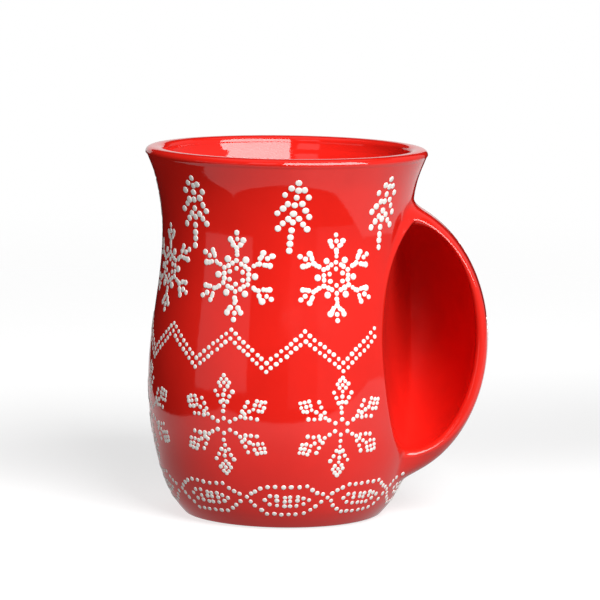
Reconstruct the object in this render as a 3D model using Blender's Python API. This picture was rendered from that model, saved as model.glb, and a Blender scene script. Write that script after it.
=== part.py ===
"""Hand-warmer mug in glazed stoneware, built as the potter builds it.

A thrown vessel with a waist and a flared rim is dented on its right side, and
a slip-cast finger pocket is luted over the dent.  The fingers of a right hand
go in at the front and rest against the warm wall.  The pot stands on a bare
foot ring and is lined with a coat of glaze.

Sizes are in millimetres about the vessel's own axis.  They are turned into
metres, and moved so that the origin lies under the centre of the whole mug,
when the meshes are written.
"""

import bmesh
import bpy
import numpy as np

# ---- driving dimensions, in millimetres ------------------------------------

HEIGHT = 125.0
RIM_RADIUS = 47.8
WAIST_RADIUS = 41.76
WAIST_HEIGHT = 96.0
BELLY_RADIUS = 46.2
BELLY_HEIGHT = 46.0
FOOT_CURVE_WIDTH = 21.0
FOOT_CURVE_HEIGHT = 50.0

WALL = 4.2
RIM_WALL = 5.8
RIM_ROLL = 1.3
# The rolled rim's section: how far in from each face and down from the top, in rolls.
RIM_OUTSIDE_ROLL = [(0.4, 0.3), (1.1, 0.0)]
RIM_INSIDE_ROLL = [(0.9, 0.0), (0.2, 0.3)]
RIM_SWELL_HEIGHT = 100.0
FLOOR_TOP = 10.0
FLOOR_ROUND = 6.0

FLOOR_BENDS = np.radians([30.0, 60.0, 90.0])

FOOT_HEIGHT = 4.0
FOOT_INNER_RADIUS = 27.0
FOOT_EDGE = 0.8

GAP = 0.3
LINER = 0.5
LINER_TOP = 120.0

# The pocket's outer side: an ellipse seen from the front, joined softly on.
POCKET_REACH = 69.6
POCKET_HEIGHT_CENTRE = 60.0
POCKET_CORE = 33.2
POCKET_HALF_WIDTH = 36.3
POCKET_HALF_HEIGHT = 47.6
POCKET_JOIN = 5.0
POCKET_JOIN_SPREAD = 0.03
POCKET_FRONT = -8.0
POCKET_FRONT_START = -16.0
POCKET_FRONT_SPREAD = 29.0
POCKET_BACK = 4.0
POCKET_BACK_END = 90.0
POCKET_BACK_SHORTER = 10.5
POCKET_BACK_SOFTER = 0.3
POCKET_BACK_SPREAD = 80.0
POCKET_FEATHER = 1.5
POCKET_FEATHER_REACH = 9.0

# The pocket's blank before it is hollowed, and where the points that close its ends lie.
BLANK_START = -58.0
BLANK_END = 104.0
BLANK_BOTTOM = 8.0
BLANK_TOP = 113.0
BLANK_CENTRE = 23.0
BLANK_CORE_RADIUS = 20.88
BLANK_CENTRE_RADIUS = 31.32

# The finger space: a bowl whose mouth has two different half widths.
MOUTH_CENTRE = np.array([43.0, -19.0, 62.0])
MOUTH_LEFT = np.array([-10.7, -13.0])
MOUTH_RIGHT = np.array([22.0, 9.0])
MOUTH_HALF_HEIGHT = 40.0
MOUTH_DEPTH = np.array([1.0, 52.0])
LIP_FLARE = 4.0
LIP_LENGTH = 3.5
LEFT_WIDENING = 1.3
BOWL_RUN_OUT = 60.0
BOWL_BENDS = np.radians([0.0, 12.0, 24.0, 36.0, 48.0, 60.0, 70.0, 79.0, 85.0])
DENT_ROUND = 3.0

# The same bowl, one wall thickness larger, shapes the inside of the vessel.
DENT_LEFT_INSIDE = np.array([-15.0, -10.0])
DENT_DEPTH_INSIDE = np.array([1.0, 57.0])
DENT_HALF_HEIGHT_INSIDE = 44.5
DENT_ROUND_INSIDE = 6.0

# How finely each surface is divided.
COLUMNS = 56
OUTSIDE_RINGS = 22
INSIDE_RINGS = 16
BLANK_RINGS = 30
BLANK_COLUMNS = 37
BOWL_COLUMNS = 48
SHARP_ANGLE = np.radians(40.0)

CUTTER_OVERSHOOT = 5.0
NEVER_MET = 10.0 * HEIGHT

MM = 0.001
AXIS_X = (RIM_RADIUS - POCKET_REACH) / 2.0

RED_GLAZE = (0.70, 0.022, 0.012, 1.0)
RED_LINER = (0.74, 0.035, 0.022, 1.0)
BARE_CLAY = (0.72, 0.66, 0.57, 1.0)


# ---- curves ----------------------------------------------------------------

def smooth_step(t):
    """A rise from 0 to 1 that starts and ends level."""
    t = np.clip(t, 0.0, 1.0)
    return t * t * (3.0 - 2.0 * t)


def soft_min(a, b, width):
    """The smaller of two lengths, with the corner between them rounded off."""
    overlap = np.clip(width - np.abs(a - b), 0.0, None)
    return np.minimum(a, b) - overlap * overlap / (4.0 * width)


def body_radius(z):
    """Outer radius: a quarter ellipse to the belly, a wave to the waist, a flare."""
    z = np.asarray(z, dtype=float)
    drop = np.clip((BELLY_HEIGHT - z) / FOOT_CURVE_HEIGHT, 0.0, 1.0)
    lower = BELLY_RADIUS - FOOT_CURVE_WIDTH * (1.0 - np.sqrt(1.0 - drop * drop))
    wave = np.cos(np.pi * (z - BELLY_HEIGHT) / (WAIST_HEIGHT - BELLY_HEIGHT))
    middle = (BELLY_RADIUS + WAIST_RADIUS + (BELLY_RADIUS - WAIST_RADIUS) * wave) / 2.0
    rise = np.clip((z - WAIST_HEIGHT) / (HEIGHT - WAIST_HEIGHT), 0.0, 1.0)
    upper = WAIST_RADIUS + (RIM_RADIUS - WAIST_RADIUS) * rise * rise
    return np.where(z < BELLY_HEIGHT, lower, np.where(z < WAIST_HEIGHT, middle, upper))


def pocket_bulge(turn, z):
    """How far the pocket stands out from the body; shorter and softer towards the back."""
    back = smooth_step((turn - POCKET_BACK) / POCKET_BACK_SPREAD)
    half_height = POCKET_HALF_HEIGHT - POCKET_BACK_SHORTER * back
    spread = POCKET_JOIN_SPREAD + POCKET_BACK_SOFTER * back
    rise = (z - POCKET_HEIGHT_CENTRE) / half_height
    room = 1.0 - rise * rise
    side = POCKET_CORE + POCKET_HALF_WIDTH * room / np.sqrt(np.abs(room) + spread)
    proud = side - body_radius(z)
    return (proud + np.sqrt(proud * proud + POCKET_JOIN * POCKET_JOIN)) / 2.0


def outer_radius(angle, z):
    """The outside of the pocket: it rises steeply at the front and fades at the back."""
    turn = np.degrees(angle)
    level = (z - MOUTH_CENTRE[2]) / MOUTH_HALF_HEIGHT
    start = POCKET_FRONT_START - POCKET_FRONT_SPREAD * np.clip(1.0 - level * level, 0.0, 1.0)
    front = smooth_step((turn - start) / (POCKET_FRONT - start))
    back = 1.0 - smooth_step((turn - POCKET_BACK) / (POCKET_BACK_END - POCKET_BACK))
    return body_radius(z) + pocket_bulge(turn, z) * front * back


def blank_radius(angle, z):
    """The same outside, sunk a little where it runs thin, so that its edge is clean."""
    proud = outer_radius(angle, z) - body_radius(z)
    thin = 1.0 - smooth_step(proud / POCKET_FEATHER_REACH)
    return body_radius(z) + proud - POCKET_FEATHER * thin


def bowl_distance(angle, z, left, depth, half_height):
    """Distance from the vessel's axis to the near side of the finger space.

    The bowl is an ellipsoid on the half axes left, depth and half_height, so a
    ray in a level plane meets it where a quadratic has its smaller root.
    """
    level = (z - MOUTH_CENTRE[2]) / half_height
    area = left[0] * depth[1] - depth[0] * left[1]
    cos, sin = np.cos(angle), np.sin(angle)
    across = (depth[1] * cos - depth[0] * sin) / area
    across_0 = (-depth[1] * MOUTH_CENTRE[0] + depth[0] * MOUTH_CENTRE[1]) / area
    along = (left[0] * sin - left[1] * cos) / area
    along_0 = (left[1] * MOUTH_CENTRE[0] - left[0] * MOUTH_CENTRE[1]) / area
    square = across * across + along * along
    half_linear = across * across_0 + along * along_0
    rest = across_0 * across_0 + along_0 * along_0 + level * level - 1.0
    inside = half_linear * half_linear - square * rest
    root = (-half_linear - np.sqrt(np.clip(inside, 0.0, None))) / square
    return np.where((inside > 0.0) & (root > 0.0), root, NEVER_MET)


def vessel_radius(angle, z):
    """Outside of the vessel, with the dent that the fingers reach into."""
    dent = bowl_distance(angle, z, MOUTH_LEFT, MOUTH_DEPTH, MOUTH_HALF_HEIGHT)
    return soft_min(body_radius(z), dent, DENT_ROUND)


def inner_radius(angle, z):
    """Inside of the vessel, one wall in from the outside and thicker at the rim."""
    swell = np.clip((z - RIM_SWELL_HEIGHT) / (HEIGHT - RIM_SWELL_HEIGHT), 0.0, 1.0)
    wall = WALL + (RIM_WALL - WALL) * swell * swell
    dent = bowl_distance(angle, z, DENT_LEFT_INSIDE, DENT_DEPTH_INSIDE,
                         DENT_HALF_HEIGHT_INSIDE)
    return soft_min(body_radius(z) - wall, dent, DENT_ROUND_INSIDE)


# ---- meshes ----------------------------------------------------------------

def column_angles():
    return np.arange(COLUMNS) * 2.0 * np.pi / COLUMNS


def ring(radius, angle, z):
    """Points on a level ring about the vessel's axis."""
    height = np.broadcast_to(z, np.shape(angle))
    return np.stack([radius * np.cos(angle), radius * np.sin(angle), height], axis=1)


def closed_rings(name, rings, bottom=None, top=None):
    """Skin a stack of equal rings, and close each end with a fan to a point."""
    bm = bmesh.new()
    rows = []
    for points in rings:
        placed = [((p[0] + AXIS_X) * MM, p[1] * MM, p[2] * MM) for p in points]
        rows.append([bm.verts.new(p) for p in placed])
    count = len(rows[0])
    for low, high in zip(rows, rows[1:]):
        for i in range(count):
            j = (i + 1) % count
            bm.faces.new((low[i], low[j], high[j]))
            bm.faces.new((low[i], high[j], high[i]))
    for row, point in ((rows[0], bottom), (rows[-1], top)):
        centre = bm.verts.new(((point[0] + AXIS_X) * MM, point[1] * MM, point[2] * MM))
        for i in range(count):
            bm.faces.new((row[i], row[(i + 1) % count], centre))
    bmesh.ops.recalc_face_normals(bm, faces=bm.faces)
    mesh = bpy.data.meshes.new(name)
    bm.to_mesh(mesh)
    bm.free()
    mesh.shade_smooth()
    mesh.set_sharp_from_angle(angle=SHARP_ANGLE)
    body = bpy.data.objects.new(name, mesh)
    bpy.context.scene.collection.objects.link(body)
    return body


def glaze(name, colour, roughness):
    material = bpy.data.materials.new(name)
    material.use_nodes = True
    shader = material.node_tree.nodes["Principled BSDF"]
    shader.inputs["Base Color"].default_value = colour
    shader.inputs["Roughness"].default_value = roughness
    shader.inputs["Metallic"].default_value = 0.0
    return material


def level_heights(low, high, count):
    """Heights from low to high, closer together at both ends."""
    share = (1.0 - np.cos(np.linspace(0.0, np.pi, count))) / 2.0
    even = np.linspace(0.0, 1.0, count)
    return low + (high - low) * (share + even) / 2.0


def outside_heights():
    """The levels of the vessel's outer rings, shared with the cutter that clears it."""
    return level_heights(FOOT_HEIGHT + GAP, HEIGHT - RIM_ROLL, OUTSIDE_RINGS)


def inside_heights():
    """The levels of the vessel's inner rings from the top down, shared with its liner."""
    return level_heights(HEIGHT - RIM_ROLL, FLOOR_TOP + FLOOR_ROUND, INSIDE_RINGS)


def make_vessel():
    """Cup wall and floor: outside up, over the rolled rim, inside down."""
    angle = column_angles()
    base = FOOT_HEIGHT + GAP
    rings = [ring(vessel_radius(angle, z), angle, z) for z in outside_heights()]
    outer, inner = RIM_RADIUS, RIM_RADIUS - RIM_WALL
    rings += [ring(outer - inward * RIM_ROLL, angle, HEIGHT - down * RIM_ROLL)
              for inward, down in RIM_OUTSIDE_ROLL]
    rings += [ring(inner + inward * RIM_ROLL, angle, HEIGHT - down * RIM_ROLL)
              for inward, down in RIM_INSIDE_ROLL]
    rings += [ring(inner_radius(angle, z), angle, z) for z in inside_heights()]
    rings += floor_rings(angle, 0.0)
    return closed_rings("vessel", rings, bottom=(0.0, 0.0, base), top=(0.0, 0.0, FLOOR_TOP))


def floor_rings(angle, lift):
    """The quarter round between the inner wall and the floor."""
    top = FLOOR_TOP + FLOOR_ROUND
    wall = inner_radius(angle, top) - lift
    size = FLOOR_ROUND - lift
    return [ring(wall - size * (1.0 - np.cos(bend)), angle, top - size * np.sin(bend))
            for bend in FLOOR_BENDS]


def make_liner():
    """The coat of glaze on the inside, a thin cup that nests in the vessel."""
    angle = column_angles()
    down = [z for z in inside_heights() if z < LINER_TOP]
    rings = floor_rings(angle, GAP + LINER)[::-1]
    rings += [ring(inner_radius(angle, z) - GAP - LINER, angle, z) for z in down[::-1]]
    rings += [ring(inner_radius(angle, z) - GAP, angle, z) for z in down]
    rings += floor_rings(angle, GAP)
    return closed_rings("liner_glaze", rings, bottom=(0.0, 0.0, FLOOR_TOP + GAP + LINER),
                        top=(0.0, 0.0, FLOOR_TOP + GAP))


def make_foot_ring():
    """The unglazed ring that the mug stands on, turned from its section."""
    outside = [(float(body_radius(z)), z) for z in (FOOT_EDGE, FOOT_HEIGHT / 2.0, FOOT_HEIGHT)]
    section = [(FOOT_INNER_RADIUS + FOOT_EDGE, 0.0),
               (float(body_radius(0.0)) - FOOT_EDGE, 0.0)]
    section += outside
    section += [(FOOT_INNER_RADIUS - FOOT_EDGE, FOOT_HEIGHT), (FOOT_INNER_RADIUS, FOOT_EDGE)]
    bm = bmesh.new()
    verts = [bm.verts.new((r * MM, 0.0, z * MM)) for r, z in section]
    edges = [bm.edges.new((a, b)) for a, b in zip(verts, verts[1:] + verts[:1])]
    bmesh.ops.spin(bm, geom=verts + edges, cent=(0.0, 0.0, 0.0), axis=(0.0, 0.0, 1.0),
                   angle=2.0 * np.pi, steps=COLUMNS, use_merge=True)
    bmesh.ops.translate(bm, verts=bm.verts, vec=(AXIS_X * MM, 0.0, 0.0))
    bmesh.ops.recalc_face_normals(bm, faces=bm.faces)
    mesh = bpy.data.meshes.new("foot_ring")
    bm.to_mesh(mesh)
    bm.free()
    mesh.shade_smooth()
    mesh.set_sharp_from_angle(angle=SHARP_ANGLE)
    foot = bpy.data.objects.new("foot_ring", mesh)
    bpy.context.scene.collection.objects.link(foot)
    return foot


def make_vessel_cutter():
    """A filled copy of the vessel, one gap larger, that trims the pocket."""
    angle = column_angles()
    heights = [-CUTTER_OVERSHOOT, *outside_heights(), HEIGHT + CUTTER_OVERSHOOT]
    rings = [ring(vessel_radius(angle, z) + GAP, angle, z) for z in heights]
    return closed_rings("vessel_cutter", rings, bottom=(0.0, 0.0, heights[0]),
                        top=(0.0, 0.0, heights[-1]))


def bowl_section(centre_y, share, flare):
    """One slice of the finger space: the mouth's outline, shrunk and flared."""
    turn = np.linspace(0.0, 2.0 * np.pi, BOWL_COLUMNS, endpoint=False)
    right = np.clip(np.cos(turn), 0.0, None)
    left = np.clip(-np.cos(turn), 0.0, None) * LEFT_WIDENING
    along = centre_y / MOUTH_DEPTH[1]
    x = MOUTH_CENTRE[0] + MOUTH_DEPTH[0] * max(along, 0.0)
    x = x + share * (right * MOUTH_RIGHT[0] + left * MOUTH_LEFT[0]) + flare * right
    y = MOUTH_CENTRE[1] + centre_y + share * (right * MOUTH_RIGHT[1] + left * MOUTH_LEFT[1])
    z = MOUTH_CENTRE[2] + share * MOUTH_HALF_HEIGHT * np.sin(turn)
    return np.stack([x, y, z], axis=1)


def make_bowl_cutter():
    """The finger space as a solid, run out through the front of the pocket."""
    sections = [bowl_section(-BOWL_RUN_OUT, 1.0, LIP_FLARE),
                bowl_section(-LIP_LENGTH, 1.0, LIP_FLARE)]
    for bend in BOWL_BENDS:
        sections.append(bowl_section(np.sin(bend) * MOUTH_DEPTH[1], np.cos(bend), 0.0))
    end = (MOUTH_CENTRE[0] + MOUTH_DEPTH[0], MOUTH_CENTRE[1] + MOUTH_DEPTH[1], MOUTH_CENTRE[2])
    start = (MOUTH_CENTRE[0] + LIP_FLARE, MOUTH_CENTRE[1] - BOWL_RUN_OUT, MOUTH_CENTRE[2])
    return closed_rings("bowl_cutter", sections, bottom=start, top=end)


def make_pocket_blank():
    """The pocket before it is hollowed: a solid from inside the vessel outwards."""
    angle = np.radians(np.linspace(BLANK_START, BLANK_END, BLANK_COLUMNS))
    rings = []
    for z in level_heights(BLANK_BOTTOM, BLANK_TOP, BLANK_RINGS):
        outside = ring(blank_radius(angle, z), angle, z)
        inside = ring(np.full(angle.shape, BLANK_CORE_RADIUS), angle[::-1], z)
        rings.append(np.concatenate([outside, inside]))
    centre = np.radians(BLANK_CENTRE)
    x, y = BLANK_CENTRE_RADIUS * np.cos(centre), BLANK_CENTRE_RADIUS * np.sin(centre)
    return closed_rings("hand_pocket", rings, bottom=(x, y, BLANK_BOTTOM),
                        top=(x, y, BLANK_TOP))


def cut(body, cutter):
    """Subtract a cutter, and keep it out of the finished part."""
    cutter.hide_render = True
    cutter.display_type = "WIRE"
    step = body.modifiers.new("cut by " + cutter.name, "BOOLEAN")
    step.operation = "DIFFERENCE"
    step.solver = "EXACT"
    step.object = cutter


def main():
    for old in list(bpy.data.objects):
        bpy.data.objects.remove(old, do_unlink=True)
    red = glaze("red_glaze", RED_GLAZE, 0.12)
    pocket_red = glaze("pocket_red_glaze", RED_GLAZE, 0.12)
    lining = glaze("lining_glaze", RED_LINER, 0.15)
    clay = glaze("bare_clay", BARE_CLAY, 0.85)
    vessel = make_vessel()
    vessel.data.materials.append(red)
    liner = make_liner()
    liner.data.materials.append(lining)
    foot = make_foot_ring()
    foot.data.materials.append(clay)
    pocket = make_pocket_blank()
    pocket.data.materials.append(pocket_red)
    cut(pocket, make_vessel_cutter())
    cut(pocket, make_bowl_cutter())


main()
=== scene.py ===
"""Looks of the hand-warmer mug: glaze, bare foot and raised slip dots around the fixed CAD frame.

Sizes inside the functions are millimetres about the mug's own axis: +X towards
the finger pocket, -Y towards the drinker, +Z up.  They become metres in the
shared frame only when a mesh is written.
"""

import math

import bpy
import numpy as np
from mathutils import Matrix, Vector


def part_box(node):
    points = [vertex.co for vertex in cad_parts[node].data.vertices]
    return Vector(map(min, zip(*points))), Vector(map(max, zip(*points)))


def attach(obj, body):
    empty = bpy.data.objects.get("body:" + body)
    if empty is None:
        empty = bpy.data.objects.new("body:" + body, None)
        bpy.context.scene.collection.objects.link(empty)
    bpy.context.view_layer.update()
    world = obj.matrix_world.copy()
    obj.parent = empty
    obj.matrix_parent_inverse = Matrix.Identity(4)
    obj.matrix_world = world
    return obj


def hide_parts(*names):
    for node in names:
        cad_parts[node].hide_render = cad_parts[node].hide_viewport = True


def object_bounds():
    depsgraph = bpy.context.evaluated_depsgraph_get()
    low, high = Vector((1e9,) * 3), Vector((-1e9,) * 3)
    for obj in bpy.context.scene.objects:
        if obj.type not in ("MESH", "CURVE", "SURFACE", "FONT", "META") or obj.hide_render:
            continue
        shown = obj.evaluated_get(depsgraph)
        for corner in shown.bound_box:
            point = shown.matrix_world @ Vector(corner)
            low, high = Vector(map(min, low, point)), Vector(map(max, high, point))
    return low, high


bl_info = {
    "name": "Hand-warmer mug",
    "version": (1, 0, 0),
    "blender": (4, 5, 0),
    "location": "View3D > Sidebar > Mug",
    "description": "Builds a glazed hand-warmer mug with raised slip dots",
    "category": "Add Mesh",
}

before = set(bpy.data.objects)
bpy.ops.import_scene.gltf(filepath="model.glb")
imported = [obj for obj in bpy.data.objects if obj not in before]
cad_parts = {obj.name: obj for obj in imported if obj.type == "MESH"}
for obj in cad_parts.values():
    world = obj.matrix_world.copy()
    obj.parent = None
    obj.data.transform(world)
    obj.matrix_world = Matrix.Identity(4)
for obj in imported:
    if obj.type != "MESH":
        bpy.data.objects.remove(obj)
CAD_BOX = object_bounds()
FOOT_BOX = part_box("foot_ring")
MM = 0.001
AXIS_X = (FOOT_BOX[0].x + FOOT_BOX[1].x) / 2 / MM
CAD_HEIGHT = CAD_BOX[1].z - CAD_BOX[0].z

# Cup, in millimetres and degrees.
BELLY_HEIGHT = 46.0
WAIST_HEIGHT = 96.0
FOOT_CURVE_WIDTH = 21.0
FOOT_CURVE_HEIGHT = 50.0
FOOT_TUCK = 0.42
FOOT_TUCK_HEIGHT = 7.0
RIM_FLARE = 0.45
RIM_FLARE_START = 114.0
RIM_FLARE_HEIGHT = 9.0
RIM_SWELL = 1.6
RIM_SWELL_HEIGHT = 100.0
RIM_BASE = 122.9
WALL_TOP = RIM_BASE - 0.7
RIM_CENTRE = 44.75
RIM_HALF = 3.0
RIM_POWER = 2.6
CORNER_TOP = 17.0
CORNER_ROUND = 7.0
FLOOR_RINGS = [0.75, 0.45, 0.15]
GLAZE_EDGE = 0.45

# Angles run up to this one, behind the pot, and start again 360 degrees lower.
BEHIND = 260.0

# Pocket: how far it stands out, and where it starts and ends round the cup.
POCKET_HEIGHT_CENTRE = 60.0
POCKET_HALF_HEIGHT = 47.6
POCKET_HALF_WIDTH = 36.3
POCKET_CORE_INSET = 36.4
POCKET_JOIN = 5.0
POCKET_JOIN_SPREAD = 0.03
POCKET_FRONT = -8.0
POCKET_FRONT_START = -24.0
POCKET_FRONT_SPREAD = 21.0
POCKET_FRONT_HALF_HEIGHT = 40.0
POCKET_BACK = 4.0
POCKET_BACK_FADE = 86.0
POCKET_BACK_SPREAD = 80.0
POCKET_BACK_SHORTER = 10.5
POCKET_BACK_SOFTER = 0.3

# Mouth of the pocket and the finger space behind it.
MOUTH_TOP_ANGLE = -17.0
MOUTH_BOTTOM_ANGLE = -20.5
MOUTH_LEFT_ANGLE = -44.7
MOUTH_HEIGHT = 62.0
MOUTH_HALF = 40.5
MOUTH_RIGHT_BEND = 0.6
MOUTH_LEFT_BEND_ABOVE = 1.8
MOUTH_LEFT_BEND_BELOW = 1.05
BOWL_CENTRE = np.array([43.0, -19.0, 62.0])
BOWL_END = np.array([44.0, 33.0, 62.0])
BOWL_HALF = 38.0
BOWL_HALF_RIGHT = 21.9
BOWL_HALF_LEFT = 10.0
LIP_SET_BACK = 2.5
LIP_PULL = 4.0
LIP_PULL_RIGHT = 3.2

# Dent that the finger space makes inside the cup.
DENT_LEFT = np.array([-15.0, -10.0])
DENT_DEPTH = np.array([1.0, 57.0])
DENT_HALF_HEIGHT = 44.5
DENT_ROUND = 6.0
NEVER_MET = 1000.0

# Hollow under the foot: radius and height down its side and out to the bare ring.
COVE_TOP = 3.4
COVE = [(6.0, COVE_TOP), (14.0, COVE_TOP), (21.0, COVE_TOP), (24.6, 3.3), (26.1, 2.9), (27.0, 2.1),
        (27.2, GLAZE_EDGE + 0.1), (29.0, GLAZE_EDGE)]

# Coat of glaze inside the cup, and the bare foot.
COAT_HIDDEN = 0.15
COAT_THICKNESS = 0.5
COAT_TOP = RIM_BASE - 1.0
COAT_TOP_FADE = 4.0
COAT_BACK = 0.3
FOOT_TOP = 1.9
FOOT_ROUND_HEIGHT = 1.35
FOOT_OUTER_ROUND = 1.3
FOOT_INNER_ROUND = 1.2
FOOT_INNER_RADIUS = 28.3
FOOT_WAVE = 0.05

# Where the glaze is thin, deep in the finger space or darker along the rim's crest, and where shade is
# painted in the upper left of the finger space; BOWL_END_LIP is the place of the lip that belongs to the
# end point of the space.
THIN_GLAZE = 0.9
LIP_CREST = 0.42
LIP_CREST_WIDTH = 0.28
DEEP_WITHIN = 12.0
BOWL_END_LIP = -20.0
# Darker along the rim's crest.
RIM_CREST_DARKENING = 0.9
RIM_CREST_DARKENING_WIDTH = 0.9
# Painted shade in the upper left of the finger space, fading in from its front, right and bottom.
PAINTED_SHADE_FRONT, PAINTED_SHADE_FRONT_FADE = -26.0, 8.0
PAINTED_SHADE_RIGHT, PAINTED_SHADE_RIGHT_FADE = 46.0, 14.0
PAINTED_SHADE_LOW, PAINTED_SHADE_LOW_FADE = 34.0, 30.0

# Rows and columns of the meshes.
COLUMNS = 240
LOW_ROWS = 26
LOW_ROWS_GROWTH = 1.15
MOUTH_ROWS = 72
HIGH_ROWS = 27
RIM_ROWS = 23
WALL_ROWS = 84
CORNER_ROWS = 9
LIP_ROWS = 12
BOWL_ROWS = 38
RING_COLUMNS = 160


# ---- settings that a user may change ----------------------------------------

def length(name, description, default):
    return bpy.props.FloatProperty(name=name, description=description, default=default,
                                   min=0.0, unit="LENGTH", precision=5)


def colour(name, description, default):
    return bpy.props.FloatVectorProperty(name=name, description=description, default=default,
                                         size=3, subtype="COLOR", min=0.0, max=1.0)


def share(name, description, default, top=1.0):
    return bpy.props.FloatProperty(name=name, description=description, default=default,
                                   min=0.0, max=top, subtype="FACTOR")


class MugSizes(bpy.types.PropertyGroup):
    """Sizes of the pot."""
    height: length("Height", "Table to rim", CAD_HEIGHT)
    rim_radius: length("Rim radius", "Axis to the outside of the rim", 0.0478)
    waist_radius: length("Waist radius", "Axis to the narrowest place", 0.04176)
    belly_radius: length("Belly radius", "Axis to the widest place of the cup", 0.0462)
    pocket_reach: length("Pocket reach", "Axis to the outside of the pocket", 0.0696)
    wall: length("Wall", "Thickness of the cup wall", 0.0042)
    wave: length("Wave", "How far the skin wanders from the true form", 0.0001)


class SlipSizes(bpy.types.PropertyGroup):
    """Sizes of the raised dots."""
    tree_dot: length("Tree dot", "Diameter of a dot in a tree", 0.00225)
    flake_dot: length("Upper snowflake dot", "Diameter of a small dot in an upper snowflake", 0.0018)
    zigzag_dot: length("Zigzag dot", "Diameter of a dot in the zigzag", 0.00155)
    lower_dot: length("Lower snowflake dot", "Diameter of a dot in a lower snowflake", 0.00148)
    chain_dot: length("Chain dot", "Diameter of a dot in the chain", 0.0016)
    rise: share("Rise", "Height of a dot as a share of its radius", 0.17)
    seed: bpy.props.IntProperty(name="Seed", description="Hand's variation", default=7, min=0)


class MugFinishes(bpy.types.PropertyGroup):
    """Colours and gloss."""
    red: colour("Red glaze", "Colour of the glaze where it is thick", (0.83, 0.0175, 0.0105))
    thin_red: colour("Thin glaze", "Colour of the glaze on edges", (0.84, 0.036, 0.022))
    slip: colour("Slip", "Colour of the raised dots", (0.95, 0.935, 0.89))
    clay: colour("Clay", "Colour of the bare foot", (0.60, 0.50, 0.38))
    gloss: share("Glaze roughness", "Roughness of the glaze", 0.07)
    slip_gloss: share("Slip roughness", "Roughness of the dots", 0.42)


class StageLights(bpy.types.PropertyGroup):
    """Floor, background and light."""
    floor: colour("Floor", "Colour of the floor", (0.33, 0.33, 0.33))
    key: bpy.props.FloatProperty(name="Key light", description="Light from the right front, in watts",
                                 default=30.5, min=0.0)
    top: bpy.props.FloatProperty(name="Top light", description="Light from above, in watts",
                                 default=6.0, min=0.0)
    ambient: share("Ambient", "Light from all round", 0.21, 2.0)


# ---- form --------------------------------------------------------------------

def smooth_step(t):
    """A rise from 0 to 1 that starts and ends level."""
    t = np.clip(t, 0.0, 1.0)
    return t * t * (3.0 - 2.0 * t)


def soft_min(a, b, width):
    """The smaller of two lengths, with the corner between them rounded off."""
    overlap = np.clip(width - np.abs(a - b), 0.0, None)
    return np.minimum(a, b) - overlap * overlap / (4.0 * width)


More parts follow.
